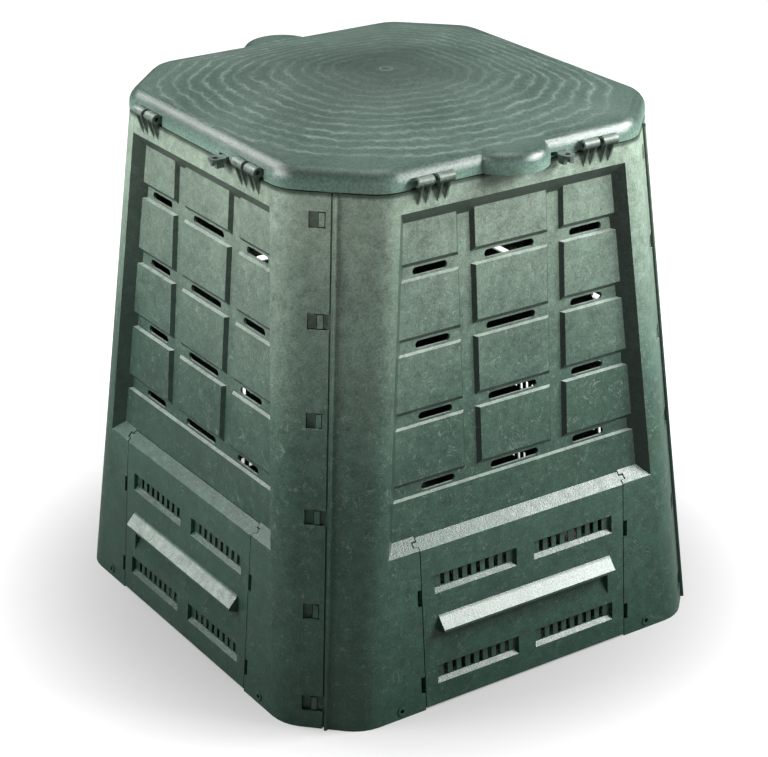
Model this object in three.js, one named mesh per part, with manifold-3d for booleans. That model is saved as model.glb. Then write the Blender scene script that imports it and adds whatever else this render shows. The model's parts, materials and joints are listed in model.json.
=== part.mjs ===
// A square compost bin of four alike side panels that clip together at the corners, with a sliding
// hatch low in each panel, an octagonal lid hinged at the back, and swivelling latches under its rim.
// Millimetres, +Z up. The origin is on the ground at the middle; the front panel looks along -Y.
import * as THREE from 'three';
import { mergeVertices } from 'three/addons/utils/BufferGeometryUtils.js';
import Module from 'manifold-3d';

// Body: four leaning faces with the corners cut off and softly folded.
const baseHalf = 375;
const lean = 0.079; // run inward per rise
const bodyHeight = 768;
const cornerCutBase = 84;
const cornerCutTop = 100;
const foldRadius = 64;
const wall = 4;
const skin = wall / 2; // how deep an added piece reaches into the wall
const sheet = 3.5;
const foldSteps = 4;
const flangeWidth = 14;

// The seam at each corner, and the bead along one side of it.
const seamGap = 2.6;
const beadHeight = 4.5;
const beadWidth = 6;
const beadShares = [[0, 0.4], [0.2, 1], [0.6, 1], [1, 0]]; // across its width, and of its height

// How far cuts and joined pieces run past a face.
const margin = 6;
const overrun = 1;

// Hatch and doorway.
const hatchSide = 192.5; // from the body's edge at the ground
const hatchBottom = 3;
const hatchTop = 250.5;
const hatchSkin = 3.5;
const hatchRim = 3;
const hatchGap = 1.5;
const doorwayLap = 8.5;
const doorwayBottom = 12;
const doorwayDrop = 12.5;
const frameLap = 17.5;
const frameThickness = 4;
const channelFloor = 10.5;
const channelWidth = 7.5;
const channelWall = 7.5;
const channelBottom = 4;
const lugReach = 7;
const lugFront = 5;
const lugBack = 9.3;
const lugHeight = 21.5;
const lugBottom = 4.5;
const lugPitch = 137.3;
const notchReach = 6.5;
const notchHeight = 26;
const notchGap = 1.5;

// Recess in each face, measured up the slope.
const sillGap = 1;
const recessTopDrop = 27;
const recessSideBottom = 118.6; // from the body's edge, at the recess's foot
const recessSideTop = 125.5;
const recessDepth = 20.5;
const recessSideRun = 20.5;
const recessTopRun = 24.3;
const sillRise = 23.2;

// Raised tiles in the recess, and the air slots between their rows.
const tileRise = 5.5;
const tileBevelSide = 5.3;
const tileBevelTop = 2;
const tileBevelBottom = 6.5;
const tileRows = 4;
const tileGap = 17.2;
const topTileHeight = 81;
const plinthHeight = 76.7;
const tileMiddleShare = 0.389; // of the recess floor's half width at its top
const tileOuterShare = 0.507;
const slotRadius = 5.6;
const slotSteps = 3;
const slotMiddleShare = 0.645; // of the middle tile's half width
const slotOuterCentreShare = 0.567; // along the outer tile
const slotOuterHalfShare = 0.343;

// Hatch face: four vent pockets and the hooded handle.
const ventInner = 15.5;
const ventSide = 21.5; // from the hatch's edge
const ventHeight = 28.5;
const ventBottom = 35.5;
const ventTopDrop = 44;
const ventDepth = 6;
const ventSlots = 8;
const ventEnd = 17.8;
const ventSlotShare = 0.46;
const ventSlotMargin = 1;
const ventFloor = 2.2;
const ventSlope = 6;
const hoodSide = 26.5;
const hoodTop = 143;
const hoodLip = 124;
const hoodReach = 14;
const hoodSheet = 3.5;
const hoodFoot = 8;
const fingerBottom = 80;
const fingerDrop = 6; // below the hood's top
const fingerDepth = 9;
const fingerSlope = 21;

// Peg holes low in each panel.
const pegSide = 43.5; // from the hatch's edge
const pegHeight = 12.5;
const pegHole = 3.6;
const pegRing = 7;
const pegRingHeight = 1.5;

// Corner clips, measured from the seam and down the slope of the corner.
const clipCount = 6;
const clipFirst = 37.5;
const clipTopDrop = 36.5;
const clipWindowNear = 8.5;
const clipWindowSize = 23;
const clipTongueHalf = 9.5;
const clipTongueSheet = 3;
const clipTongueGap = 0.6;
const clipTongueReach = 18;
const clipHookLength = 8;
const clipRoot = 14;
const clipTrayNear = 20;
const clipTrayDepth = 6.5;
const lipReach = 6;
const lipRoot = 8;

// Knuckle pairs along the top edge, and the back pair's pins.
const knuckleShare = 0.4435; // of the body's half width at its top
const knuckleHalf = 29.6;
const knuckleGap = 8;
const knuckleRadius = 7.25;
const knuckleBore = 3.6;
const knuckleFront = 7; // from the face to the axis
const knuckleRise = 12;
const gussetOffsets = [9.5, 22];
const gussetSheet = 3;
const gussetDrop = 36;
const gussetInset = 1.5;
const roundSteps = 12;
const boreSteps = 8;
const pinRadius = 3;
const pinTipShare = 0.7;
const pinHeadRadius = 5.5;
const pinHead = 2.5;

// Latches that swivel on the top flange.
const latchShare = 0.2386; // of the body's half width at its top
const latchDepth = 14;
const latchHub = 8;
const latchNeckHalf = 7;
const latchSheet = 4;
const latchPaddleStart = 22;
const latchPaddleHalf = 10.5;
const latchReach = 41;
const latchSkirt = 9;
const latchSkirtHalf = 9;
const latchSkirtEnd = 34;
const latchEye = 4.5;
const latchLift = 5;
const latchSeat = 0.4;
const latchBore = 2.8;
const latchPinRadius = 2.3;
const latchPinHead = 5;
const latchPinHeadSheet = 2;
const latchBarb = 3.4;
const latchBarbLength = 4;
const latchTipShare = 0.6;
const latchEarHalf = 11;
const latchEarReach = 24;
const latchArcSteps = 8;

// Lid.
const lidGap = 2;
const lidOverhang = 0.5;
const lidCut = 101;
const lidFold = 60;
const lidWall = 3.5;
const lidRim = 6;
const lidRadius = 26;
const lidCrown = 27;
const lidFoldSteps = 4;
const lidArcSteps = 6;
const lidCrownSteps = 3;
const lidCentreShare = 0.2;
const gripShare = 0.194; // of the body's half width at its top
const gripReachShare = 0.607;
const gripEdge = 19;
const gripDrop = 2;
const gripSteps = 40;
const openAngle = 80; // degrees, where the rear grip meets the back panel
const swingClearance = 1.2;
const pocketClearance = 2.2;
const pocketEnd = 5;
const pocketSheet = 2.8;
const pocketSteps = 4;
const hingeLug = 6.4;
const hingeLugRadius = 6.4;
const notchHalf = 9.5;
const notchClearance = 0.6;
const latchLockFar = 17.5;
const latchStrip = 2.4;
const padHalf = 15;
const padWidth = 6;
const padHeight = 8;
const padLift = 0.4;

// The sides with a latch, counted in quarter turns from the front; the back is the hinge side.
const latchQuarters = [0, 1, 3];

// Everything below is derived from the sizes above.
const slope = Math.atan(lean);
const topHalf = baseHalf - lean * bodyHeight;
const knuckleCentre = knuckleShare * topHalf;
const latchOffset = latchShare * topHalf;
const gripRadius = gripShare * topHalf;
const gripReach = gripReachShare * gripRadius;
const clipPitch = (bodyHeight - clipFirst - clipTopDrop) / (clipCount - 1);

const hatchHalf = baseHalf - hatchSide;
const ventOuter = hatchHalf - ventSide;
const hoodHalf = hatchHalf - hoodSide;
const fingerHalf = hoodHalf - hoodSheet;
const fingerTop = hoodTop - fingerDrop;
const pegCentre = hatchHalf + pegSide;

const recessBottom = hatchTop + sillGap;
const recessTop = bodyHeight - recessTopDrop;
const recessHalfBottom = baseHalf - lean * recessBottom - recessSideBottom;
const recessHalfTop = baseHalf - lean * recessTop - recessSideTop;
const floorHalfTop = recessHalfTop - recessSideRun;
const tileDepth = recessDepth - tileRise;
const hatchDepth = tileDepth - sillGap;
const lugBottoms = [lugBottom, lugBottom + lugPitch];
const ventBottoms = [ventBottom, hatchTop - ventTopDrop - ventHeight];
const plinthTop = recessBottom + plinthHeight;
const tileFirstBottom = recessTop - topTileHeight;
const tilePitch = (tileFirstBottom - plinthTop - tileGap) / (tileRows - 1);
const tileMiddleHalf = tileMiddleShare * floorHalfTop;
const tileOuterStart = tileOuterShare * floorHalfTop;

const wasm = await Module();
wasm.setup();

// A closed three.js geometry as a solid that can be joined and cut.
function solid(geometry) {
  const bare = geometry.index ? geometry.toNonIndexed() : geometry.clone();
  bare.deleteAttribute('normal');
  bare.deleteAttribute('uv');
  const merged = mergeVertices(bare, 1e-4);
  return new wasm.Manifold(new wasm.Mesh({
    numProp: 3,
    vertProperties: new Float32Array(merged.attributes.position.array),
    triVerts: new Uint32Array(merged.index.array),
  }));
}

function join(solids) {
  return solids.reduce((sum, next) => sum.add(next));
}

function geometryOf(shape) {
  const { vertProperties, triVerts } = shape.getMesh();
  const geometry = new THREE.BufferGeometry();
  geometry.setAttribute('position', new THREE.BufferAttribute(new Float32Array(vertProperties), 3));
  geometry.setIndex(new THREE.BufferAttribute(new Uint32Array(triVerts), 1));
  const flat = geometry.toNonIndexed();
  flat.computeVertexNormals();
  return flat;
}

function ordered(a, b) {
  return [Math.min(a, b), Math.max(a, b)];
}

// A box between two corners.
function block(x0, x1, y0, y1, z0, z1) {
  const geometry = new THREE.BoxGeometry(x1 - x0, y1 - y0, z1 - z0);
  return solid(geometry.translate((x0 + x1) / 2, (y0 + y1) / 2, (z0 + z1) / 2));
}

// A section of [y, z] points drawn out along x.
function bar(points, x0, x1) {
  const shape = new THREE.Shape(points.map(([y, z]) => new THREE.Vector2(y, z)));
  const geometry = new THREE.ExtrudeGeometry(shape, { depth: x1 - x0, bevelEnabled: false });
  const turn = new THREE.Matrix4().makeBasis(
    new THREE.Vector3(0, 1, 0), new THREE.Vector3(0, 0, 1), new THREE.Vector3(1, 0, 0));
  return solid(geometry.applyMatrix4(turn).translate(x0, 0, 0));
}

// A skin over rings that all have the same number of points, capped flat at both ends.
function loft(rings) {
  const count = rings[0].length;
  const points = rings.flat();
  const index = [];
  for (let r = 0; r + 1 < rings.length; r += 1) {
    for (let i = 0; i < count; i += 1) {
      const a = r * count + i;
      const b = r * count + (i + 1) % count;
      index.push(a, b, b + count, a, b + count, a + count);
    }
  }
  const last = (rings.length - 1) * count;
  const caps = THREE.ShapeUtils.triangulateShape(rings[0].map(([x, y]) => new THREE.Vector2(x, y)), []);
  for (const [a, b, c] of caps) {
    index.push(a, c, b);
    index.push(last + a, last + b, last + c);
  }
  const geometry = new THREE.BufferGeometry();
  geometry.setAttribute('position', new THREE.Float32BufferAttribute(points.flat(), 3));
  geometry.setIndex(index);
  return solid(geometry);
}

function roundBar(radius, x0, x1, steps = roundSteps) {
  const geometry = new THREE.CylinderGeometry(radius, radius, x1 - x0, steps);
  return solid(geometry.rotateZ(Math.PI / 2).translate((x0 + x1) / 2, 0, 0));
}

function post(radius, z0, z1, steps = roundSteps) {
  const geometry = new THREE.CylinderGeometry(radius, radius, z1 - z0, steps);
  return solid(geometry.rotateX(Math.PI / 2).translate(0, 0, (z0 + z1) / 2));
}

function placed(shape, matrix) {
  return shape.transform(matrix.elements);
}

// Frames: x to the right seen from outside, y up the slope, z outward. Depths are minus z.
function frameAt(origin, side, out) {
  const up = new THREE.Vector3().crossVectors(out, side);
  return new THREE.Matrix4().makeBasis(side, up, out).setPosition(origin);
}

const faceFrame = frameAt(
  new THREE.Vector3(0, -baseHalf, 0),
  new THREE.Vector3(1, 0, 0),
  new THREE.Vector3(0, -Math.cos(slope), Math.sin(slope)),
);
const worldToFace = faceFrame.clone().invert();

const seamReachBase = (2 * baseHalf - cornerCutBase) / Math.SQRT2;
const seamReachTop = (2 * topHalf - cornerCutTop) / Math.SQRT2;
const cornerSlope = Math.atan((seamReachBase - seamReachTop) / bodyHeight);

// The corner to the left (-1) or right (+1) of the front face.
function cornerFrame(turn) {
  const flatOut = new THREE.Vector3(turn, -1, 0).normalize();
  const side = new THREE.Vector3(1, turn, 0).normalize();
  const out = flatOut.clone().multiplyScalar(Math.cos(cornerSlope)).setZ(Math.sin(cornerSlope));
  return frameAt(flatOut.clone().multiplyScalar(seamReachBase), side, out);
}

// Half of a side's plan outline, from the left seam to the left end of the face.
function wingPath(half, cut, radius, gap, steps) {
  const corner = [-(half - cut / 2), -(half - cut / 2)];
  const shift = gap / Math.SQRT2;
  const bend = -(half - cut) + radius * Math.tan(Math.PI / 8);
  const path = [[corner[0] + shift, corner[1] - shift]];
  for (let i = 0; i <= steps; i += 1) {
    const angle = Math.PI * (1.25 + 0.25 * i / steps);
    path.push([bend + radius * Math.cos(angle), -half + radius + radius * Math.sin(angle)]);
  }
  return path;
}

function mirrored(path) {
  return path.map(([x, y]) => [-x, y]).reverse();
}

function bodySize(z, inset) {
  const t = z / bodyHeight;
  return {
    half: THREE.MathUtils.lerp(baseHalf, topHalf, t) - inset,
    cut: THREE.MathUtils.lerp(cornerCutBase, cornerCutTop, t) - inset * (2 - Math.SQRT2),
    radius: foldRadius - inset,
  };
}

// One side's outline at a height, between two insets from the outer skin.
function sideRing(z, outer, inner, bead) {
  const a = bodySize(z, outer);
  const b = bodySize(z, inner);
  const left = wingPath(a.half, a.cut, a.radius, seamGap / 2, foldSteps);
  if (bead) {
    const [x, y] = left[0];
    const ridge = beadShares.map(([across, out]) => [beadWidth * across, -beadHeight * out]);
    left.splice(0, 1, ...ridge.map(([s, d]) => [x + (s + d) / Math.SQRT2, y + (d - s) / Math.SQRT2]));
  }
  const right = mirrored(wingPath(a.half, a.cut, a.radius, seamGap / 2, foldSteps));
  const back = wingPath(b.half, b.cut, b.radius, seamGap / 2, foldSteps);
  const ring = [...left, ...right, ...[...back, ...mirrored(back)].reverse()];
  return ring.map(([x, y]) => [x, y, z]);
}

function wallSolid() {
  const shell = loft([sideRing(0, 0, wall, true), sideRing(bodyHeight, 0, wall, true)]);
  const flangeBottom = bodyHeight - wall;
  const flange = loft([
    sideRing(flangeBottom, skin, flangeWidth, false), sideRing(bodyHeight, skin, flangeWidth, false)]);
  const back = -topHalf + latchEarReach;
  const ear = block(
    latchOffset - latchEarHalf, latchOffset + latchEarHalf, back - latchEarReach + wall, back,
    flangeBottom, bodyHeight);
  const bore = post(latchBore, flangeBottom - margin, bodyHeight + margin)
    .translate([latchOffset, -topHalf + latchDepth, 0]);
  return join([shell, flange, ear]).subtract(bore);
}

// The recess's half width at a height and depth, and its sloping foot and top at a depth.
function recessHalf(y, depth) {
  const t = (y - recessBottom) / (recessTop - recessBottom);
  return THREE.MathUtils.lerp(recessHalfBottom, recessHalfTop, t) - recessSideRun * depth / recessDepth;
}

function sillAt(depth) {
  return recessBottom + sillRise * depth / recessDepth;
}

function headAt(depth) {
  return recessTop - recessTopRun * depth / recessDepth;
}

// The recess's outline at a depth; grow is the sheet thickness outside it.
function recessRing(depth, grow) {
  const y0 = sillAt(depth) - grow;
  const y1 = headAt(depth) + grow;
  const bottom = recessHalf(y0, depth) + grow;
  const top = recessHalf(y1, depth) + grow;
  return [[-bottom, y0, -depth], [bottom, y0, -depth], [top, y1, -depth], [-top, y1, -depth]];
}

// A tile narrows from the recess's floor to its face; an edge left out runs on into the recess's wall.
function tile({ left, right, low, high }, inset, deep, face) {
  const into = (sheet - inset) / 2;
  const ring = (depth) => {
    const share = (recessDepth - depth) / tileRise;
    const side = inset + share * tileBevelSide;
    const x0 = (y) => (left === undefined ? -recessHalf(y, depth) - into : left + side);
    const x1 = (y) => (right === undefined ? recessHalf(y, depth) + into : right - side);
    const y0 = low === undefined ? sillAt(depth) - into : low + inset + share * tileBevelBottom;
    const y1 = high === undefined ? headAt(depth) + into : high - inset - share * tileBevelTop;
    return [[x0(y0), y0, -depth], [x1(y0), y0, -depth], [x1(y1), y1, -depth], [x0(y1), y1, -depth]];
  };
  return loft([ring(deep), ring(face)]);
}

function rowBottom(row) {
  return tileFirstBottom - row * tilePitch;
}

// The tiles' feet on the recess's floor.
function tileOutlines() {
  const outlines = [{ high: plinthTop }];
  for (let row = 0; row < tileRows; row += 1) {
    const low = rowBottom(row);
    const high = row === 0 ? undefined : low + tilePitch - tileGap;
    outlines.push({ right: -tileOuterStart, low, high });
    outlines.push({ left: -tileMiddleHalf, right: tileMiddleHalf, low, high });
    outlines.push({ left: tileOuterStart, low, high });
  }
  return outlines;
}

function slot(centre, half, y) {
  const shape = new THREE.Shape();
  const reach = half - slotRadius;
  shape.absarc(centre + reach, y, slotRadius, -Math.PI / 2, Math.PI / 2, false);
  shape.absarc(centre - reach, y, slotRadius, Math.PI / 2, Math.PI * 1.5, false);
  const depth = sheet + 2 * margin;
  const geometry = new THREE.ExtrudeGeometry(
    shape, { depth, bevelEnabled: false, curveSegments: slotSteps });
  return solid(geometry.translate(0, 0, -recessDepth - sheet - margin));
}

// Three slots in the gap below each row.
function slots() {
  const width = floorHalfTop - tileOuterStart;
  const centre = tileOuterStart + slotOuterCentreShare * width;
  const half = slotOuterHalfShare * width;
  const cuts = [];
  for (let row = 0; row < tileRows; row += 1) {
    const y = rowBottom(row) - tileGap / 2;
    cuts.push(slot(-centre, half, y));
    cuts.push(slot(0, slotMiddleShare * tileMiddleHalf, y));
    cuts.push(slot(centre, half, y));
  }
  return join(cuts);
}

// The frame behind the hatch, with a bar at either side for its channel, and the doorway through it.
function doorFrame() {
  const frameHalf = hatchHalf + frameLap;
  const doorwayHalf = hatchHalf - doorwayLap;
  const plate = block(
    -frameHalf, frameHalf, -margin, recessBottom + sillRise, -tileDepth - frameThickness, -tileDepth);
  const doorway = block(
    -doorwayHalf, doorwayHalf, doorwayBottom, hatchTop - doorwayDrop,
    -recessDepth - margin, -tileDepth + margin);
  const section = [
    [-margin, -skin], [-margin, -tileDepth],
    [sillAt(tileDepth) - skin, -tileDepth], [sillAt(skin) - skin, -skin]];
  const near = hatchHalf + hatchGap;
  const far = near + channelWidth + channelWall;
  return { plate: join([plate, bar(section, -far, -near), bar(section, near, far)]), doorway };
}

// What is cut for the hatch: its passage, the channels its lugs slide in and the notches they enter by.
function hatchCuts() {
  const inner = hatchHalf + hatchGap;
  const cuts = [block(-inner, inner, -margin, recessBottom + sillRise, -tileDepth, margin)];
  const strip = (reach, y0, y1, z0, z1) => {
    for (const turn of [-1, 1]) {
      const [x0, x1] = ordered(turn * (inner - overrun), turn * (inner + reach));
      cuts.push(block(x0, x1, y0, y1, z0, z1));
    }
  };
  strip(channelWidth, channelBottom, recessBottom + 2 * sillRise, -channelFloor, -wall);
  for (const bottom of lugBottoms) {
    const y = bottom + lugHeight + notchGap;
    strip(notchReach, y, y + notchHeight, -wall - overrun, margin);
  }
  return join(cuts);
}

// Each panel's left edge carries a lip and tongues that reach behind its neighbour's right edge.
function clips() {
  const left = cornerFrame(-1);
  const right = cornerFrame(1);
  const parts = [];
  const windows = [];
  const tongueTop = -wall - clipTongueGap;
  const tongueBottom = tongueTop - clipTongueSheet;
  const lipTop = (bodyHeight - wall - clipTongueGap) / Math.cos(cornerSlope);
  const lip = join([
    block(seamGap, lipRoot, -margin, lipTop, tongueBottom, -skin),
    block(-lipReach, lipRoot, -margin, lipTop, tongueBottom, tongueTop),
  ]);
  parts.push(placed(lip, left));
  for (let i = 0; i < clipCount; i += 1) {
    const y = (clipFirst + i * clipPitch) / Math.cos(cornerSlope);
    const h = clipTongueHalf;
    const tongue = join([
      block(seamGap, clipRoot, y - h, y + h, tongueBottom, -skin),
      block(-clipTongueReach, clipRoot, y - h, y + h, tongueBottom, tongueTop),
      block(-clipTongueReach, clipHookLength - clipTongueReach, y - h, y + h, tongueBottom, -skin / 2),
    ]);
    parts.push(placed(tongue, left));

    const w = clipWindowSize / 2;
    const far = clipWindowNear + clipWindowSize;
    const near = i % 2 === 0 ? -margin : clipWindowNear;
    const trayBack = -clipTrayDepth - sheet;
    const tray = join([
      block(-far - sheet, -clipTrayNear, y - w, y + w, trayBack, -clipTrayDepth),
      block(-far - sheet, -far, y - w, y + w, trayBack, -skin),
    ]);
    parts.push(placed(tray, right));
    windows.push(placed(block(-far, -near, y - w, y + w, -clipTrayDepth, margin), right));
  }
  return { parts, windows };
}

// The knuckle axis in the face's frame and in the bin's.
const knuckleY = (bodyHeight + knuckleRise - knuckleFront * Math.sin(slope)) / Math.cos(slope);
const knuckleAxis = new THREE.Vector3(0, knuckleY, knuckleFront).applyMatrix4(faceFrame);

function knuckles() {
  const tubes = [];
  const bores = [];
  const gusset = [
    [knuckleY - gussetDrop, -overrun],
    [knuckleY - knuckleRadius / 2, knuckleFront + knuckleRadius - gussetInset],
    [knuckleY, knuckleFront],
    [bodyHeight / Math.cos(slope) - overrun, -wall + overrun],
  ];
  for (const centre of [-knuckleCentre, knuckleCentre]) {
    for (const turn of [-1, 1]) {
      const [x0, x1] = ordered(centre + turn * knuckleGap / 2, centre + turn * knuckleHalf);
      tubes.push(roundBar(knuckleRadius, x0, x1).translate([0, knuckleY, knuckleFront]));
      const bore = roundBar(knuckleBore, x0 - overrun, x1 + overrun, boreSteps);
      bores.push(bore.translate([0, knuckleY, knuckleFront]));
      for (const offset of gussetOffsets) {
        const x = centre + turn * offset;
        tubes.push(bar(gusset, x - gussetSheet / 2, x + gussetSheet / 2));
      }
    }
  }
  return { tubes: join(tubes), bores: join(bores) };
}

function pegHoles() {
  const rings = [];
  const holes = [];
  for (const x of [-pegCentre, pegCentre]) {
    rings.push(post(pegRing, -skin, pegRingHeight, boreSteps).translate([x, pegHeight, 0]));
    holes.push(post(pegHole, -wall - overrun, margin, boreSteps).translate([x, pegHeight, 0]));
  }
  return { rings: join(rings), holes: join(holes) };
}

function panelSolid() {
  const pan = loft([recessRing(recessDepth + sheet, sheet), recessRing(overrun, sheet)]);
  const hollow = loft([recessRing(recessDepth, 0), recessRing(-overrun, 0)]);
  const frame = doorFrame();
  const knuckle = knuckles();
  const peg = pegHoles();
  const outlines = tileOutlines();
  const tiles = outlines.map((outline) => tile(outline, 0, recessDepth + sheet / 2, tileDepth));
  const hollows = outlines.map((outline) => tile(
    outline, sheet, recessDepth + sheet + overrun, tileDepth + sheet));
  let panel = join([placed(wallSolid(), worldToFace), pan, peg.rings]).subtract(hollow);
  panel = join([panel, ...tiles, frame.plate]).subtract(join([...hollows, slots(), frame.doorway]));
  panel = panel.subtract(hatchCuts()).subtract(peg.holes);
  panel = panel.add(knuckle.tubes).subtract(knuckle.bores);
  const clip = clips();
  panel = join([placed(panel, faceFrame), ...clip.parts]).subtract(join(clip.windows));
  const ground = 2 * baseHalf;
  return panel.subtract(block(-ground, ground, -ground, ground, -ground, 0));
}

// A vent pocket with a sloping foot and a row of slots through its floor.
function vent(v0, v1, y0) {
  const y1 = y0 + ventHeight;
  const back = -ventDepth - ventFloor;
  const backing = block(v0 - sheet, v1 + sheet, y0 - sheet, y1 + sheet, back, -overrun);
  const cuts = [bar([
    [y0, margin], [y0, 0], [y0 + ventSlope, -ventDepth], [y1, -ventDepth], [y1, margin]], v0, v1)];
  const pitch = (v1 - v0 - 2 * ventEnd) / (ventSlots - 1);
  const half = ventSlotShare * pitch / 2;
  for (let i = 0; i < ventSlots; i += 1) {
    const x = v0 + ventEnd + i * pitch;
    cuts.push(block(
      x - half, x + half, y0 + ventSlope + ventSlotMargin, y1 - ventSlotMargin, back - overrun, 0));
  }
  return { backing, opening: join(cuts) };
}

function hatchSolid() {
  const top = (depth) => sillAt(depth) - sillGap;
  const shell = bar([
    [hatchBottom, 0], [top(0), 0], [top(hatchDepth), -hatchDepth], [hatchBottom, -hatchDepth],
  ], -hatchHalf, hatchHalf);
  const hollowHalf = hatchHalf - hatchRim;
  const behind = hatchDepth + overrun;
  const hollow = bar([
    [hatchBottom + hatchRim, -hatchSkin], [top(hatchSkin) - hatchRim, -hatchSkin],
    [top(behind) - hatchRim, -behind], [hatchBottom + hatchRim, -behind],
  ], -hollowHalf, hollowHalf);
  const earBottom = hatchTop - hatchRim * 2;
  const ear = [
    [earBottom, -lugFront], [top(lugFront), -lugFront], [top(lugBack), -lugBack], [earBottom, -lugBack]];
  const fingerBack = -fingerDepth - hatchRim;
  const added = [block(
    -fingerHalf - sheet, fingerHalf + sheet, fingerBottom - sheet, fingerTop + sheet,
    fingerBack, -overrun)];
  const cut = [bar([
    [fingerBottom, margin], [fingerBottom, 0], [fingerBottom + fingerSlope, -fingerDepth],
    [fingerTop, -fingerDepth], [fingerTop, margin],
  ], -fingerHalf, fingerHalf)];
  for (const turn of [-1, 1]) {
    const [x0, x1] = ordered(turn * (hatchHalf - overrun), turn * (hatchHalf + lugReach));
    added.push(bar(ear, x0, x1));
    for (const y of lugBottoms) {
      added.push(block(x0, x1, y, y + lugHeight, -lugBack, -lugFront));
    }
    for (const y of ventBottoms) {
      const { backing, opening } = vent(...ordered(turn * ventInner, turn * ventOuter), y);
      added.push(backing);
      cut.push(opening);
    }
  }
  const hood = bar([
    [hoodTop, -overrun], [hoodTop, 0], [hoodLip, hoodReach], [hoodLip - hoodSheet, hoodReach],
    [hoodLip - hoodFoot, 0], [hoodLip - hoodFoot, -overrun],
  ], -hoodHalf, hoodHalf);
  const under = bar([
    [hoodTop - hoodSheet, -margin], [hoodTop - hoodSheet, 0], [hoodLip - hoodSheet, hoodReach],
    [hoodLip - hoodSheet, hoodReach + margin], [0, hoodReach + margin], [0, -margin],
  ], -fingerHalf, fingerHalf);
  return join([shell.subtract(hollow), ...added]).subtract(join(cut)).add(hood.subtract(under));
}

// Plan ring of the lid, point for point alike at every size.
function octagon(half, cut, radius, z) {
  const left = wingPath(half, cut, radius, 0, lidFoldSteps).slice(1);
  const side = [...left, ...mirrored(left)];
  const ring = [];
  for (let k = 0; k < 4; k += 1) {
    const [c, s] = [[1, 0], [0, 1], [-1, 0], [0, -1]][k];
    ring.push(...side.map(([x, y]) => [c * x - s * y, s * x + c * y, z]));
  }
  return ring;
}

const lidHalf = topHalf + lidOverhang;
const lidBottom = bodyHeight + lidGap;
const rimTop = lidBottom + lidRim;

// The lid's filled shape, or its inside at a given wall.
function lidForm(inset) {
  const ring = (step, z) => octagon(
    lidHalf - step, lidCut - step * (2 - Math.SQRT2), lidFold - step, z);
  const rings = [ring(inset, inset > 0 ? lidBottom - margin : lidBottom)];
  const radius = lidRadius - inset;
  for (let i = 0; i <= lidArcSteps; i += 1) {
    const angle = Math.PI / 2 * i / lidArcSteps;
    rings.push(ring(lidRadius - radius * Math.cos(angle), rimTop + radius * Math.sin(angle)));
  }
  const edge = rings[rings.length - 1];
  for (let i = 1; i <= lidCrownSteps; i += 1) {
    const scale = 1 - i / (lidCrownSteps + lidCentreShare);
    const rise = lidCrown * (1 - scale * scale);
    rings.push(edge.map(([x, y, z]) => [x * scale, y * scale, z + rise]));
  }
  return loft(rings);
}

// A finger grip is a low drum set back from the rim, with a rounded top edge.
function gripForm(inset, y) {
  const top = rimTop + lidRadius - gripDrop - inset;
  const bottom = inset > 0 ? lidBottom - margin : lidBottom;
  const radius = gripEdge - inset;
  const profile = [new THREE.Vector2(0, bottom), new THREE.Vector2(gripRadius - inset, bottom)];
  for (let i = 0; i <= lidArcSteps; i += 1) {
    const angle = Math.PI / 2 * i / lidArcSteps;
    profile.push(new THREE.Vector2(
      gripRadius - gripEdge + radius * Math.cos(angle), top - radius + radius * Math.sin(angle)));
  }
  profile.push(new THREE.Vector2(0, top));
  const geometry = new THREE.LatheGeometry(profile, gripSteps);
  return solid(geometry.rotateX(Math.PI / 2).translate(0, y, 0));
}

// The arched section that clears a knuckle, open below.
function pocketSection(radius, bottom) {
  const section = [[knuckleAxis.y + radius, bottom], [knuckleAxis.y + radius, knuckleAxis.z]];
  for (let i = 1; i < pocketSteps; i += 1) {
    const angle = Math.PI * i / pocketSteps;
    section.push([knuckleAxis.y + radius * Math.cos(angle), knuckleAxis.z + radius * Math.sin(angle)]);
  }
  section.push([knuckleAxis.y - radius, knuckleAxis.z], [knuckleAxis.y - radius, bottom]);
  return section;
}

function spun(shape, quarter) {
  return placed(shape, new THREE.Matrix4().makeRotationZ(quarter * Math.PI / 2));
}

// What the rear grip's skirt gives up so that it clears the panel's face as the lid swings open.
function swingRelief() {
  const open = THREE.MathUtils.degToRad(openAngle);
  const face = topHalf + knuckleAxis.y + swingClearance;
  const rise = (run) => (face - run * Math.cos(open)) / Math.sin(open) + lean * run;
  const near = lidHalf + knuckleAxis.y + swingClearance / 2;
  const far = near + gripReach + margin;
  const low = lidBottom - margin - knuckleAxis.z;
  const section = [[near, low], [far, low], [far, rise(far)], [near, rise(near)]];
  const outline = section.map(([run, z]) => [knuckleAxis.y - run, knuckleAxis.z + z]);
  return bar(outline, -gripRadius, gripRadius);
}

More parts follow.
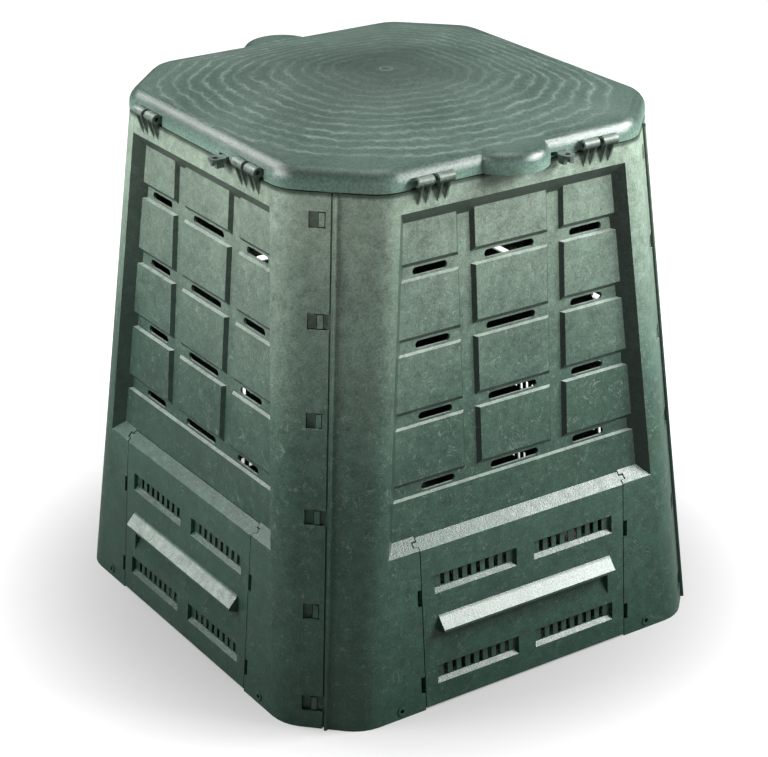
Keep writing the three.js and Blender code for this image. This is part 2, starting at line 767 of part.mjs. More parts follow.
function lidSolid() {
  const gripY = lidHalf + gripReach - gripRadius;
  const outside = join([lidForm(0), gripForm(0, -gripY), gripForm(0, gripY)]);
  const inside = join([lidForm(lidWall), gripForm(lidWall, -gripY), gripForm(lidWall, gripY)]);
  const clear = knuckleRadius + pocketClearance;
  const housings = [];
  const cuts = [];
  for (const x of [-knuckleCentre, knuckleCentre]) {
    const half = knuckleHalf + pocketEnd;
    const housing = pocketSection(clear + pocketSheet, lidBottom);
    housings.push(bar(housing, x - half - pocketSheet, x + half + pocketSheet));
    cuts.push(bar(pocketSection(clear, lidBottom - margin), x - half, x + half));
  }
  const quarters = [0, 1, 2, 3];
  const around = (shape) => join(quarters.map((quarter) => spun(shape, quarter)));
  let lid = outside.subtract(inside).add(around(join(housings)).intersect(outside));
  lid = lid.subtract(around(join(cuts)));

  const ledge = bodyHeight + latchLift + latchSheet + notchClearance;
  const notch = join([
    block(
      latchOffset - notchHalf, latchOffset + notchHalf, -lidHalf - margin, -lidHalf + margin,
      lidBottom - margin, ledge),
    block(
      latchOffset - latchLockFar, latchOffset, -lidHalf - margin, -lidHalf + margin,
      lidBottom + latchStrip, ledge),
  ]);
  lid = lid.subtract(join(latchQuarters.map((quarter) => spun(notch, quarter))));

  const lugs = [-knuckleCentre, knuckleCentre].map((x) => {
    const ring = roundBar(hingeLugRadius, x - hingeLug / 2, x + hingeLug / 2);
    const arm = block(
      x - hingeLug / 2, x + hingeLug / 2, 0, clear + pocketSheet / 2,
      -hingeLugRadius / 2, hingeLugRadius / 2);
    const bore = roundBar(knuckleBore, x - hingeLug, x + hingeLug, boreSteps);
    return ring.add(arm).subtract(bore).translate([0, knuckleAxis.y, knuckleAxis.z]);
  });
  lid = lid.subtract(spun(swingRelief(), 2)).add(spun(join(lugs), 2));

  const cornerReach = (2 * lidHalf - lidCut) / Math.SQRT2;
  const pad = block(
    -padHalf, padHalf, -cornerReach + lidWall / 2, -cornerReach + lidWall + padWidth,
    bodyHeight + padLift, lidBottom + padHeight);
  const pads = quarters.map((quarter) => spun(pad, quarter + 0.5));
  return join([lid, ...pads]);
}

// A latch about its pivot, pointing out of the front.
function latchSolid() {
  const top = latchLift + latchSheet;
  const nose = latchReach - latchPaddleHalf;
  const shape = new THREE.Shape();
  shape.moveTo(-latchNeckHalf, 0);
  shape.lineTo(-latchNeckHalf, -latchPaddleStart + latchSheet);
  shape.lineTo(-latchPaddleHalf, -latchPaddleStart);
  shape.absarc(0, -nose, latchPaddleHalf, Math.PI, 2 * Math.PI, false);
  shape.lineTo(latchPaddleHalf, -latchPaddleStart);
  shape.lineTo(latchNeckHalf, -latchPaddleStart + latchSheet);
  shape.lineTo(latchNeckHalf, 0);
  const tongue = new THREE.ExtrudeGeometry(
    shape, { depth: latchSheet, bevelEnabled: false, curveSegments: latchArcSteps });
  const hub = post(latchHub, latchSeat, top);
  const skirt = block(
    -latchSkirtHalf, latchSkirtHalf, -latchSkirtEnd, -latchPaddleStart, latchLift - latchSkirt,
    latchLift + overrun);
  const eye = post(latchEye, -latchSkirt, top + overrun).translate([0, -nose, 0]);
  return join([hub, solid(tongue.translate(0, 0, latchLift)), skirt])
    .subtract(eye)
    .subtract(post(latchBore, -margin, top + margin));
}

// A latch pin hangs by its head and is held by the barb under the flange.
function latchPinGeometry() {
  const head = latchLift + latchSheet + latchSeat;
  const barb = -wall - latchSeat;
  return lathe([
    [0, barb - latchBarbLength], [latchPinRadius * latchTipShare, barb - latchBarbLength],
    [latchBarb, barb], [latchPinRadius, barb], [latchPinRadius, head], [latchPinHead, head],
    [latchPinHead, head + latchPinHeadSheet], [0, head + latchPinHeadSheet],
  ], roundSteps);
}

function hingePinGeometry() {
  const end = knuckleHalf + latchSeat;
  return lathe([
    [0, -end - pinHead], [pinRadius * pinTipShare, -end - pinHead], [pinRadius, -end], [pinRadius, end],
    [pinHeadRadius, end], [pinHeadRadius, end + pinHead], [0, end + pinHead],
  ], roundSteps);
}

// A turned piece about +Z.
function lathe(profile, steps) {
  const geometry = new THREE.LatheGeometry(profile.map(([r, z]) => new THREE.Vector2(r, z)), steps);
  return geometry.rotateX(Math.PI / 2);
}

function material(colour) {
  return new THREE.MeshStandardMaterial({ color: colour, roughness: 0.62, metalness: 0 });
}

function mesh(name, geometry, colour) {
  const piece = new THREE.Mesh(geometry, material(colour));
  piece.name = name;
  return piece;
}

const green = 0x4a6358;
const paleGreen = 0x566f63;
const darkGreen = 0x3b5147;

const bin = new THREE.Group();
const panelGeometry = geometryOf(panelSolid());
const hatchGeometry = geometryOf(hatchSolid());
const latchGeometry = geometryOf(latchSolid());
const sides = ['front', 'right', 'back', 'left'];
sides.forEach((name, quarter) => {
  const side = new THREE.Group();
  side.rotation.z = quarter * Math.PI / 2;
  side.add(mesh(`panel_${name}`, panelGeometry, green));

  const face = new THREE.Group();
  face.position.set(0, -baseHalf, 0);
  face.rotation.x = Math.PI / 2 - slope;
  face.add(mesh(`hatch_${name}`, hatchGeometry, green));
  side.add(face);

  if (latchQuarters.includes(quarter)) {
    const pivot = new THREE.Group();
    pivot.position.set(latchOffset, -topHalf + latchDepth, bodyHeight);
    pivot.add(mesh(`latch_${name}`, latchGeometry, darkGreen));
    pivot.add(mesh(`latch_pin_${name}`, latchPinGeometry(), darkGreen));
    side.add(pivot);
  }
  bin.add(side);
});

bin.add(mesh('lid', geometryOf(lidSolid()), paleGreen));

for (const [name, x] of [['hinge_pin_left', -knuckleCentre], ['hinge_pin_right', knuckleCentre]]) {
  const pin = mesh(name, hingePinGeometry(), darkGreen);
  pin.position.set(x, -knuckleAxis.y, knuckleAxis.z);
  pin.rotation.y = Math.sign(x) * Math.PI / 2;
  bin.add(pin);
}

export default bin;
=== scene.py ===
# A square compost bin with a hinged lid, in recycled green plastic, on a white studio floor.
# Metres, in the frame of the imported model: +Z up, the front panel looks along -Y.
import json
import math

import bpy
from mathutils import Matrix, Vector


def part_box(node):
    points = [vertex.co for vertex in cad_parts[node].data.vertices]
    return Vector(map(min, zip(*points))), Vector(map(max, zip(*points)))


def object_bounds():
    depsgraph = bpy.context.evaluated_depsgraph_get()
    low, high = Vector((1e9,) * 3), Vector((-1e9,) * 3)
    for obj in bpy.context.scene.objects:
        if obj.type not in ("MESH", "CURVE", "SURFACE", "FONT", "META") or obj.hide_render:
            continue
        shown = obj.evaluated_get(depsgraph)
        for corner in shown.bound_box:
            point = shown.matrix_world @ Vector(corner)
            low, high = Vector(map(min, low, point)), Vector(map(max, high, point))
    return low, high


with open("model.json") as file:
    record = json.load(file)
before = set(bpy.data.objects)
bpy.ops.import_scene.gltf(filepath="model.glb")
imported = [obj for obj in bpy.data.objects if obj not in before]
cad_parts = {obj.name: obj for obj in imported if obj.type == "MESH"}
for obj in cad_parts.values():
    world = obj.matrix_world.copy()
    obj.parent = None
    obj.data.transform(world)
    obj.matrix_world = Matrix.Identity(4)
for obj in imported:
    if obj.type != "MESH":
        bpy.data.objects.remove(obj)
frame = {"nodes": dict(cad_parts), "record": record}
cad_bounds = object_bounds()

# Sizes taken from the frame.
HEIGHT = cad_bounds[1][2]
LID_LOW, LID_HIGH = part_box("lid")
LID_HALF = LID_HIGH[0]
CORNER_CUT = 0.104
FACE_FOOT = 0.375  # from the middle to a panel's face, at the foot
FACE_LEAN = 0.079  # how far the face draws in for each unit of height
FIELD_FOOT = 0.268  # the half width, at the foot, of the part of a panel that holds the tiles
FIELD_LEAN = 0.0935  # how far that half width draws in for each unit of height
FIELD_EDGE = 0.004
KNUCKLE_FOOT = LID_LOW[2] - 0.045
LEDGE_TOP = 0.3  # above the sloping ledge that runs over a hatch
LEDGE_EDGE = 0.03
BODY_FOOT = 0.36

# The camera of the photograph, with its angles in degrees and its lens and sensor in millimetres.
CAMERA_AZIMUTH = -34.07
CAMERA_ELEVATION = 24.42
CAMERA_DISTANCE = 3.4195
CAMERA_TARGET = Vector((0.0015, 0.0077, 0.3317))
CAMERA_LENS = 103.58
CAMERA_SENSOR = 36.0

# Plastic colours by height, linear RGB: painted shade darkens them toward the foot and painted light pales
# them toward the rim.
BODY_SHADE_BY_HEIGHT = [
    (0.00, (0.010, 0.036, 0.023)),
    (0.30, (0.027, 0.064, 0.045)),
    (0.42, (0.034, 0.074, 0.053)),
    (0.50, (0.050, 0.099, 0.073)),
    (0.75, (0.150, 0.212, 0.166)),
    (0.90, (0.235, 0.305, 0.240)),
]
LID_COLOURS = [(0.0, (0.037, 0.064, 0.051)), (1.0, (0.065, 0.100, 0.082))]
TRIM_COLOURS = [(0.0, (0.060, 0.085, 0.075)), (1.0, (0.110, 0.145, 0.128))]
# the colour of painted shade: in recesses, on walls round the tiles and in the seams, on faces that look
# down, and under the lid's edge
PAINTED_SHADE_GREEN = (0.008, 0.023, 0.015)
KNUCKLE_GREEN = (0.070, 0.100, 0.082)
PALE_MARK = (0.36, 0.42, 0.37)
RING_MARK = (0.17, 0.225, 0.195)
# the pale colour of painted top light and sheen on faces that look up
TOP_LIGHT_PALE = (0.36, 0.41, 0.37)

# The body's masks. Each pair is where one begins and where it is full.
PROUD = (0.001, 0.003)  # out from a panel's face
SUNK = (-0.003, -0.012)
SUNK_SHADE = 0.2
LID_SHADE = (0.007, 0.003)  # below the lid's edge
LOOKS_UP = (0.3, 0.75)  # the normal's rise
LOOKS_DOWN = (-0.1, -0.4)
UPRIGHT = (0.45, 0.3)
SLANTED = (0.93, 0.78)  # the larger of the normal's two level parts
SEAM_SQUARE = (0.45, 0.2)  # the normal's part along the way outward
SEAM_TURNED = (0.4, 0.55)  # the smaller of the normal's two level parts
# how strongly painted top light pales faces that look up: on the tiles above the ledge, and on proud parts
TILE_TOP_LIGHT = 0.65
PROUD_TOP_LIGHT = 0.7
SHELTER_SHADE = 0.8
SHELTER_MARKS = 0.15
KNUCKLE_SHADE = 0.8
MARKS_BY_HEIGHT = [(0.0, 0.14), (0.3, 0.3), (0.5, 0.6), (0.9, 0.5)]
FLECKS_BY_HEIGHT = (0.35, 0.7, 0.1, 0.9)  # two heights, and the flecks at each

# The plastic. Scales are in features to the metre.
NOISE_SPREAD = (0.3, 0.7)  # nearly all of a noise's values
CLOUD_SCALE = 14.0
MOTTLE_SCALE = 70.0
SPECKLE_SCALE = 380.0
FLECK_SCALE = 260.0
SCRATCH_SCALES = (28.0, 52.0)
BODY_GRAIN = 0.65
TRIM_GRAIN = 0.2
LID_GRAIN = 0.6
GRAIN_DEPTH = 0.0006
LID_GRAIN_DEPTH = 0.0007
REFRACTION = 1.46

WELD = 0.00001
EDGE_ROUNDING = 0.0011
SHARPEST_FLAT = 32.0  # degrees; an edge that turns by more is rounded
RING_SPACING = 0.0205
RING_BAND = 0.3  # the half width of a ring's pale band, as a share of the spacing
RING_LINE = 0.1  # the same for the thin bright line within it
RING_SQUARENESS = 0.55  # 0 is a circle and 1 is the lid's outline
CENTRE_MARK = 0.009
MARK_WIDTH = 0.0014
FLOOR_COLOUR = (0.22, 0.22, 0.22)
# the floor's camera-only glow; its low value at the bin's foot is a painted shadow, over the floor's real
# shadow
FLOOR_GLOW = (0.28, 1.0)  # at the bin's foot, and at the backdrop
PAINTED_SHADOW_REACH = 0.48  # from the bin's foot to where the floor is all white
FLOOR_SIZE = 12.0
WORLD_FILL = 0.04

# Softboxes: azimuth and elevation in degrees, distance, diameter, watts.
SOFTBOXES = [
    ("right", 60, 34, 3.2, 1.0, 150),
    ("right_front", 40, 27, 2.8, 0.7, 62),
    ("left", -110, 30, 2.5, 1.3, 62),
    ("left_back", -150, 40, 3.0, 1.3, 50),
    ("overhead", 0, 88, 2.8, 1.6, 28),
    ("front", -34, 14, 3.4, 1.6, 12),
]


class Nodes:
    """A small helper that adds shader nodes and links them by socket name."""

    def __init__(self, name):
        self.material = bpy.data.materials.new(name)
        self.material.use_nodes = True
        self.tree = self.material.node_tree
        self.tree.nodes.clear()

    def add(self, kind, inputs=None, **settings):
        """A new node; an input's value is a number, a vector or another node's output."""
        node = self.tree.nodes.new(kind)
        for key, value in settings.items():
            setattr(node, key, value)
        for key, value in (inputs or {}).items():
            socket = node.inputs[key]
            if isinstance(value, bpy.types.NodeSocket):
                self.tree.links.new(value, socket)
            else:
                socket.default_value = value
        return node

    def math(self, operation, a, b=0.0, clamp=False):
        node = self.add("ShaderNodeMath", {0: a, 1: b}, operation=operation, use_clamp=clamp)
        return node.outputs[0]

    def noise(self, vector, scale, detail=4.0, roughness=0.55, distortion=0.0):
        inputs = {
            "Vector": vector, "Scale": scale, "Detail": detail,
            "Roughness": roughness, "Distortion": distortion}
        return self.add("ShaderNodeTexNoise", inputs).outputs["Fac"]

    def ramp(self, value, stops):
        """Colours blended by a value from zero to one."""
        node = self.add("ShaderNodeValToRGB", {"Fac": value})
        elements = node.color_ramp.elements
        while len(elements) < len(stops):
            elements.new(0.5)
        for element, (position, colour) in zip(elements, stops):
            element.position = position
            element.color = (*colour, 1.0)
        return node.outputs["Color"]

    def level(self, value, low, high, out_low=0.0, out_high=1.0):
        """A straight run from out_low at low to out_high at high, held beyond both ends."""
        inputs = {
            "Value": value, "From Min": low, "From Max": high, "To Min": out_low, "To Max": out_high}
        return self.add("ShaderNodeMapRange", inputs).outputs["Result"]

    def spread(self, noise, low=0.0, high=1.0):
        """A noise stretched over the run from low to high."""
        return self.level(noise, *NOISE_SPREAD, low, high)

    def mix(self, factor, a, b, blend="MIX"):
        """Two colours, blended by a factor."""
        node = self.add("ShaderNodeMix", data_type="RGBA", blend_type=blend)
        for socket, value in ((node.inputs["Factor"], factor), (node.inputs[6], a), (node.inputs[7], b)):
            if isinstance(value, bpy.types.NodeSocket):
                self.tree.links.new(value, socket)
            elif isinstance(value, tuple):
                socket.default_value = (*value, 1.0)
            else:
                socket.default_value = value
        return node.outputs[2]

    def split(self, vector):
        return self.add("ShaderNodeSeparateXYZ", {"Vector": vector}).outputs

    def finish(self, colour, roughness, bump, strength, distance):
        """The shader and the output; the whole material is returned."""
        normal = self.add("ShaderNodeBump", {"Height": bump, "Strength": strength, "Distance": distance})
        shader = self.add("ShaderNodeBsdfPrincipled", {
            "Base Color": colour, "Roughness": roughness, "Normal": normal.outputs["Normal"]})
        shader.inputs["IOR"].default_value = REFRACTION
        self.add("ShaderNodeOutputMaterial", {"Surface": shader.outputs["BSDF"]})
        return self.material


def object_point(nodes):
    return nodes.add("ShaderNodeTexCoord").outputs["Object"]


def grey(nodes, value):
    return nodes.add("ShaderNodeCombineColor", {"Red": value, "Green": value, "Blue": value}).outputs["Color"]


def scratches(nodes, point, scale, width, cover):
    """Faint curly marks: the thin contour lines of one noise, broken up by another."""
    field = nodes.noise(point, scale, detail=3.0, roughness=0.6, distortion=0.9)
    near = nodes.math("ABSOLUTE", nodes.math("SUBTRACT", field, 0.5))
    line = nodes.level(near, 0.0, width, 1.0, 0.0)
    patch = nodes.level(nodes.noise(point, scale * 1.7, detail=3.0), cover, cover + 0.1)
    return nodes.math("MULTIPLY", line, patch)


def plastic(nodes, point, colour, marks, flecked, grain):
    """Recycled plastic: cloudy colour, a fine speckle, pale scratches and a moulded grain."""
    clouds = nodes.noise(point, CLOUD_SCALE, detail=7.0, roughness=0.65)
    mottle = nodes.noise(point, MOTTLE_SCALE, detail=5.0, roughness=0.7)
    speckle = nodes.noise(point, SPECKLE_SCALE, detail=3.0, roughness=0.7)
    tone = nodes.spread(clouds, 0.84, 1.14)
    tone = nodes.math("ADD", tone, nodes.spread(mottle, -0.27, 0.27))
    tone = nodes.math("ADD", tone, nodes.spread(speckle, -0.3, 0.3))
    colour = nodes.mix(1.0, colour, grey(nodes, tone), blend="MULTIPLY")
    wide, fine = SCRATCH_SCALES
    lines = nodes.math(
        "MAXIMUM", scratches(nodes, point, wide, 0.011, 0.48), scratches(nodes, point, fine, 0.018, 0.52))
    flecks = nodes.level(nodes.noise(point, FLECK_SCALE, detail=2.0), 0.58, 0.7)
    flecks = nodes.math("MULTIPLY", flecks, flecked)
    pale = nodes.math("MULTIPLY", nodes.math("MAXIMUM", lines, flecks), marks)
    colour = nodes.mix(pale, colour, nodes.mix(0.6, colour, PALE_MARK))
    roughness = nodes.spread(mottle, 0.3, 0.46)
    height = nodes.math("ADD", speckle, nodes.math("MULTIPLY", mottle, 0.8))
    return nodes.finish(colour, roughness, height, grain, GRAIN_DEPTH)


def seam_walls(nodes, place, normal, side):
    """One on the walls inside a corner's seam, which stand square to the way outward."""
    outward = [nodes.math("MULTIPLY", normal[axis], nodes.math("SIGN", place[axis])) for axis in "XY"]
    square = nodes.level(nodes.math("ABSOLUTE", nodes.math("ADD", *outward)), *SEAM_SQUARE)
    return nodes.math("MULTIPLY", square, nodes.level(nodes.math("MINIMUM", *side), *SEAM_TURNED))


def painted_shade_places(nodes, place, normal):
    """One where shade is painted: faces that look down, walls round the tiles and in the seams."""
    side = [nodes.math("ABSOLUTE", normal[axis]) for axis in "XY"]
    slanted = nodes.level(nodes.math("MAXIMUM", *side), *SLANTED)
    upright = nodes.level(normal["Z"], *UPRIGHT)
    walls = nodes.math("MULTIPLY", nodes.math("MULTIPLY", slanted, upright), tile_field(nodes, place))
    walls = nodes.math("MAXIMUM", walls, seam_walls(nodes, place, normal, side))
    return nodes.math("MAXIMUM", walls, nodes.level(normal["Z"], *LOOKS_DOWN))


def from_face(nodes, place):
    """How far a point stands out from its panel's face; less than zero where it lies deeper."""
    reach = nodes.math("MAXIMUM", *[nodes.math("ABSOLUTE", place[axis]) for axis in "XY"])
    face = nodes.math("SUBTRACT", FACE_FOOT, nodes.math("MULTIPLY", place["Z"], FACE_LEAN))
    return nodes.math("SUBTRACT", reach, face)


def tile_field(nodes, place):
    """One in the middle of a panel, where its tiles are, and zero toward its corners."""
    beside = nodes.math("MINIMUM", *[nodes.math("ABSOLUTE", place[axis]) for axis in "XY"])
    edge = nodes.math("SUBTRACT", FIELD_FOOT, nodes.math("MULTIPLY", place["Z"], FIELD_LEAN))
    return nodes.level(nodes.math("SUBTRACT", beside, edge), 0.0, -FIELD_EDGE)


def under_lid(nodes, place, proud):
    """One on the part of the rim that the lid's edge shades, but not on the knuckles that stand proud."""
    near = nodes.level(place["Z"], *[LID_LOW[2] - drop for drop in LID_SHADE])
    return nodes.math("MULTIPLY", near, nodes.math("SUBTRACT", 1.0, proud))


def body_plastic():
    """The body has painted shade toward the foot and in shaded places, and painted light where a face looks
    up.
    """
    nodes = Nodes("body_plastic")
    point = object_point(nodes)
    place = nodes.split(point)
    normal = nodes.split(nodes.add("ShaderNodeNewGeometry").outputs["Normal"])
    drift = nodes.spread(nodes.noise(point, 5.0), -0.05, 0.05)
    rise = nodes.math("ADD", nodes.level(place["Z"], 0.0, HEIGHT), drift, clamp=True)
    # painted shade and light: the body's colour darkens toward the foot and pales toward the rim
    colour = nodes.ramp(rise, BODY_SHADE_BY_HEIGHT)
    stand = from_face(nodes, place)
    proud = nodes.level(stand, *PROUD)
    # painted shade: where the tile field lies deeper than the panel's face, it is darkened toward the shade
    # colour
    sunk = nodes.math("MULTIPLY", nodes.level(stand, *SUNK), tile_field(nodes, place))
    colour = nodes.mix(nodes.math("MULTIPLY", sunk, SUNK_SHADE), colour, PAINTED_SHADE_GREEN)
    # painted light: faces that look up are painted paler, standing in for top light and sheen, most on proud
    # parts
    tiles = nodes.level(place["Z"], LEDGE_TOP, LEDGE_TOP + LEDGE_EDGE, 0.0, TILE_TOP_LIGHT)
    strongest = nodes.level(proud, 0.0, 1.0, tiles, PROUD_TOP_LIGHT)
    painted_top_light = nodes.math("MULTIPLY", nodes.level(normal["Z"], *LOOKS_UP), strongest)
    colour = nodes.mix(painted_top_light, colour, TOP_LIGHT_PALE)
    knuckle = nodes.math("MULTIPLY", proud, nodes.math("GREATER_THAN", place["Z"], KNUCKLE_FOOT))
    colour = nodes.mix(nodes.math("MULTIPLY", knuckle, KNUCKLE_SHADE), colour, KNUCKLE_GREEN)
    # painted shade: these places and the band under the lid's edge are darkened toward the shade colour
    painted_shade = nodes.math("MAXIMUM", painted_shade_places(nodes, place, normal), under_lid(nodes, place, proud))
    colour = nodes.mix(nodes.math("MULTIPLY", painted_shade, SHELTER_SHADE), colour, PAINTED_SHADE_GREEN)
    flecked = nodes.level(place["Z"], *FLECKS_BY_HEIGHT)
    stops = [(height, (strength, strength, strength)) for height, strength in MARKS_BY_HEIGHT]
    marks = nodes.ramp(nodes.level(place["Z"], 0.0, HEIGHT), stops)
    marks = nodes.math("MULTIPLY", marks, nodes.level(painted_shade, 0.0, 1.0, 1.0, SHELTER_MARKS))
    return plastic(nodes, point, colour, marks, flecked, BODY_GRAIN)


def wobbled(nodes, point, scale, shift):
    """The point, moved sideways by up to about a third of shift."""
    noise = nodes.add("ShaderNodeTexNoise", {"Vector": point, "Scale": scale, "Detail": 3.0})
    centred = nodes.add(
        "ShaderNodeVectorMath", {0: noise.outputs["Color"], 1: (0.5, 0.5, 0.5)}, operation="SUBTRACT")
    inputs = {0: centred.outputs[0], 1: (shift, shift, 0.0), 2: point}
    return nodes.add("ShaderNodeVectorMath", inputs, operation="MULTIPLY_ADD").outputs[0]


def flat_radius(nodes, point):
    """How far a point lies from the bin's upright middle line."""
    flat = nodes.add("ShaderNodeVectorMath", {0: point, 1: (1.0, 1.0, 0.0)}, operation="MULTIPLY")
    return nodes.add("ShaderNodeVectorMath", {0: flat.outputs[0]}, operation="LENGTH").outputs["Value"]


def lid_reach(nodes, point):
    """How far out a point lies on the lid, between its distance and its eight-sided outline."""
    place = nodes.split(point)
    x = nodes.math("ABSOLUTE", place["X"])
    y = nodes.math("ABSOLUTE", place["Y"])
    corner = nodes.math("MULTIPLY", nodes.math("ADD", x, y), LID_HALF / (2 * LID_HALF - CORNER_CUT))
    outline = nodes.math("MAXIMUM", nodes.math("MAXIMUM", x, y), corner)
    return nodes.level(RING_SQUARENESS, 0.0, 1.0, flat_radius(nodes, point), outline)


def ring_lines(nodes, point):
    """Jagged pale rings that follow the lid's outline, fading inward round a small circle."""
    moved = wobbled(nodes, wobbled(nodes, point, 8.0, 0.04), 80.0, 0.018)
    reach = lid_reach(nodes, moved)
    phase = nodes.math("FRACT", nodes.math("DIVIDE", reach, RING_SPACING))
    near = nodes.math("ABSOLUTE", nodes.math("SUBTRACT", phase, 0.5))
    band = nodes.level(near, 0.0, RING_BAND, 0.34, 0.0)
    line = nodes.level(near, 0.0, RING_LINE, 0.34, 0.0)
    fade = nodes.level(reach, 0.06, 0.22, 0.15, 1.0)
    edge = nodes.level(reach, LID_HALF - 0.002, LID_HALF - 0.018)
    strength = nodes.level(nodes.noise(point, 22.0), 0.35, 0.62, 0.25, 1.0)
    rings = nodes.math("MULTIPLY", nodes.math("ADD", band, line), nodes.math("MULTIPLY", fade, edge))
    rings = nodes.math("MULTIPLY", rings, strength)
    from_mark = nodes.math("ABSOLUTE", nodes.math("SUBTRACT", flat_radius(nodes, point), CENTRE_MARK))
    return nodes.math("MAXIMUM", rings, nodes.level(from_mark, 0.0, MARK_WIDTH, 0.7, 0.0))


def lid_plastic():
    """The lid is darker and grainier than the body, with painted light on its rim's sides, and rings over its
    top.
    """
    nodes = Nodes("lid_plastic")
    point = object_point(nodes)
    clouds = nodes.noise(point, 6.0, detail=6.0, roughness=0.6)
    colour = nodes.ramp(nodes.spread(clouds), LID_COLOURS)
    outward = nodes.level(lid_reach(nodes, point), 0.03, 0.26, 0.66, 1.0)
    normal = nodes.split(nodes.add("ShaderNodeTexCoord").outputs["Normal"])
    flatness = nodes.math("ABSOLUTE", normal["Z"])
    # painted light: where the lid's normal turns level, on its rim's sides, the colour is painted up to three
    # times lighter
    painted_rim_light = nodes.level(flatness, 0.0, 0.6, 3.0, 1.0)
    speckle = nodes.noise(point, 280.0, detail=5.0, roughness=0.8)
    tone = nodes.math("MULTIPLY", outward, painted_rim_light)
    tone = nodes.math("MULTIPLY", tone, nodes.spread(speckle, 0.5, 1.5))
    colour = nodes.mix(1.0, colour, grey(nodes, tone), blend="MULTIPLY")
    rings = nodes.math("MULTIPLY", ring_lines(nodes, point), nodes.level(normal["Z"], 0.2, 0.6))
    colour = nodes.mix(rings, colour, RING_MARK)
    height = nodes.math("ADD", speckle, nodes.math("MULTIPLY", rings, 0.8))
    roughness = nodes.level(flatness, 0.92, 0.99, 0.27, nodes.spread(clouds, 0.5, 0.6))
    return nodes.finish(colour, roughness, height, LID_GRAIN, LID_GRAIN_DEPTH)


def trim_plastic():
    """Latches and pins are darker and smoother, with few marks."""
    nodes = Nodes("trim_plastic")
    point = object_point(nodes)
    colour = nodes.ramp(nodes.spread(nodes.noise(point, 60.0)), TRIM_COLOURS)
    return plastic(nodes, point, colour, marks=0.3, flecked=0.2, grain=TRIM_GRAIN)


def welded_group():
    """A modifier group that welds the triangles at their corners and shades them smooth."""
    group = bpy.data.node_groups.new("welded", "GeometryNodeTree")
    group.interface.new_socket("Geometry", in_out="INPUT", socket_type="NodeSocketGeometry")
    group.interface.new_socket("Geometry", in_out="OUTPUT", socket_type="NodeSocketGeometry")
    last = group.nodes.new("NodeGroupInput")
    for attribute in ("custom_normal", "sharp_edge", "sharp_face"):
        remove = group.nodes.new("GeometryNodeRemoveAttribute")
        remove.inputs["Name"].default_value = attribute
        group.links.new(last.outputs[0], remove.inputs["Geometry"])
        last = remove
    weld = group.nodes.new("GeometryNodeMergeByDistance")
    weld.inputs["Distance"].default_value = WELD
    smooth = group.nodes.new("GeometryNodeSetShadeSmooth")
    end = group.nodes.new("NodeGroupOutput")
    group.links.new(last.outputs[0], weld.inputs["Geometry"])
    group.links.new(weld.outputs[0], smooth.inputs["Geometry"])
    group.links.new(smooth.outputs[0], end.inputs[0])
    return group


def rounded(piece, group):
    """Moulded edges: flat faces merged, every real edge rounded, and normals weighted by face."""
    weld = piece.modifiers.new("welded", "NODES")
    weld.node_group = group
    merge = piece.modifiers.new("merge_flats", "DECIMATE")
    merge.decimate_type = "DISSOLVE"
    merge.angle_limit = math.radians(1.0)
    bevel = piece.modifiers.new("edges", "BEVEL")
    bevel.width = EDGE_ROUNDING
    bevel.segments = 2
    bevel.limit_method = "ANGLE"
    bevel.angle_limit = math.radians(SHARPEST_FLAT)
    bevel.use_clamp_overlap = True
    weigh = piece.modifiers.new("normals", "WEIGHTED_NORMAL")
    weigh.weight = 80


def dress_frame():
    """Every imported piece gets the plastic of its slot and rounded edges."""
    group = welded_group()
    finishes = {
        "body_plastic": body_plastic(), "lid_plastic": lid_plastic(), "trim_plastic": trim_plastic()}
    slots = {part["node"]: part["material_slot"] for part in frame["record"]["subparts"]}
    for name, piece in frame["nodes"].items():
        piece.data.materials.clear()
        piece.data.materials.append(finishes[slots[name]])
        rounded(piece, group)


def floor_white():
    """A pale floor that the camera sees a little brighter than it is lit, save under the bin; its glow fades
    toward the bin's foot, a painted shadow over the floor's real one.
    """
    nodes = Nodes("floor_white")
    point = object_point(nodes)
    place = nodes.split(point)
    x = nodes.math("ABSOLUTE", place["X"])
    y = nodes.math("ABSOLUTE", place["Y"])
    corner = nodes.math("SUBTRACT", nodes.math("ADD", x, y), BODY_FOOT - CORNER_CUT)
    reach = nodes.math("MAXIMUM", nodes.math("MAXIMUM", x, y), corner)
    outside = nodes.math("GREATER_THAN", reach, BODY_FOOT)
    seen = nodes.add("ShaderNodeLightPath").outputs["Is Camera Ray"]
    # painted shadow: the glow is lowest at the bin's foot and rises smoothly to full white
    ends = {
        "Value": flat_radius(nodes, point),
        "From Min": BODY_FOOT, "From Max": BODY_FOOT + PAINTED_SHADOW_REACH,
        "To Min": FLOOR_GLOW[0], "To Max": FLOOR_GLOW[1]}
    glow_with_painted_shadow = nodes.add("ShaderNodeMapRange", ends, interpolation_type="SMOOTHSTEP").outputs["Result"]
    glow = nodes.math("MULTIPLY", nodes.math("MULTIPLY", outside, seen), glow_with_painted_shadow)
    diffuse = nodes.add("ShaderNodeBsdfDiffuse", {"Color": (*FLOOR_COLOUR, 1.0)})
    light = nodes.add("ShaderNodeEmission", {"Strength": glow})
    both = nodes.add("ShaderNodeAddShader", {0: diffuse.outputs[0], 1: light.outputs[0]})
    nodes.add("ShaderNodeOutputMaterial", {"Surface": both.outputs[0]})
    return nodes.material


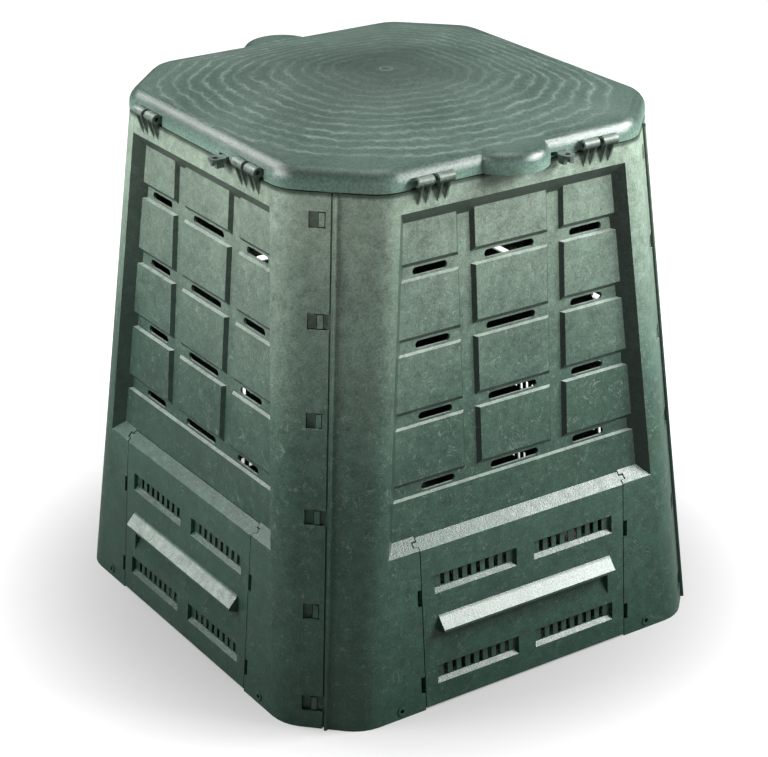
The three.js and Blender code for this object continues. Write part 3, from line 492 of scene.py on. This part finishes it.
def studio():
    """The floor, and a world that is white to the camera and nearly dark to everything else."""
    mesh = bpy.data.meshes.new("floor")
    corners = [(FLOOR_SIZE * x, FLOOR_SIZE * y, 0) for x, y in ((-1, -1), (1, -1), (1, 1), (-1, 1))]
    mesh.from_pydata(corners, [], [(0, 1, 2, 3)])
    floor = bpy.data.objects.new("floor", mesh)
    floor.data.materials.append(floor_white())
    bpy.context.collection.objects.link(floor)

    world = bpy.data.worlds.new("studio")
    world.use_nodes = True
    tree = world.node_tree
    back = tree.nodes["Background"]
    back.inputs["Color"].default_value = (1.0, 1.0, 1.0, 1.0)
    path = tree.nodes.new("ShaderNodeLightPath")
    strength = tree.nodes.new("ShaderNodeMapRange")
    strength.inputs["To Min"].default_value = WORLD_FILL
    strength.inputs["To Max"].default_value = 1.0
    tree.links.new(path.outputs["Is Camera Ray"], strength.inputs["Value"])
    tree.links.new(strength.outputs["Result"], back.inputs["Strength"])
    bpy.context.scene.world = world


def aimed(name, data, target, azimuth, elevation, distance):
    """A lamp or camera that looks at the target; azimuths turn from the front toward the right."""
    turn = math.radians(azimuth)
    rise = math.radians(elevation)
    back = Vector((
        math.sin(turn) * math.cos(rise), -math.cos(turn) * math.cos(rise), math.sin(rise)))
    thing = bpy.data.objects.new(name, data)
    thing.location = target + back * distance
    thing.rotation_euler = (-back).to_track_quat("-Z", "Y").to_euler()
    bpy.context.collection.objects.link(thing)
    return thing


def lamps():
    """Round softboxes, aimed at the bin's middle."""
    for name, azimuth, elevation, distance, size, power in SOFTBOXES:
        data = bpy.data.lights.new(name, "AREA")
        data.shape = "DISK"
        data.size = size
        data.energy = power
        aimed(name, data, Vector((0, 0, HEIGHT / 2)), azimuth, elevation, distance)


def camera():
    data = bpy.data.cameras.new("photo_view")
    data.lens = CAMERA_LENS
    data.sensor_width = CAMERA_SENSOR
    place = (CAMERA_AZIMUTH, CAMERA_ELEVATION, CAMERA_DISTANCE)
    bpy.context.scene.camera = aimed("photo_view", data, CAMERA_TARGET, *place)


dress_frame()
studio()
lamps()
camera()
bpy.context.scene.view_settings.view_transform = "Standard"
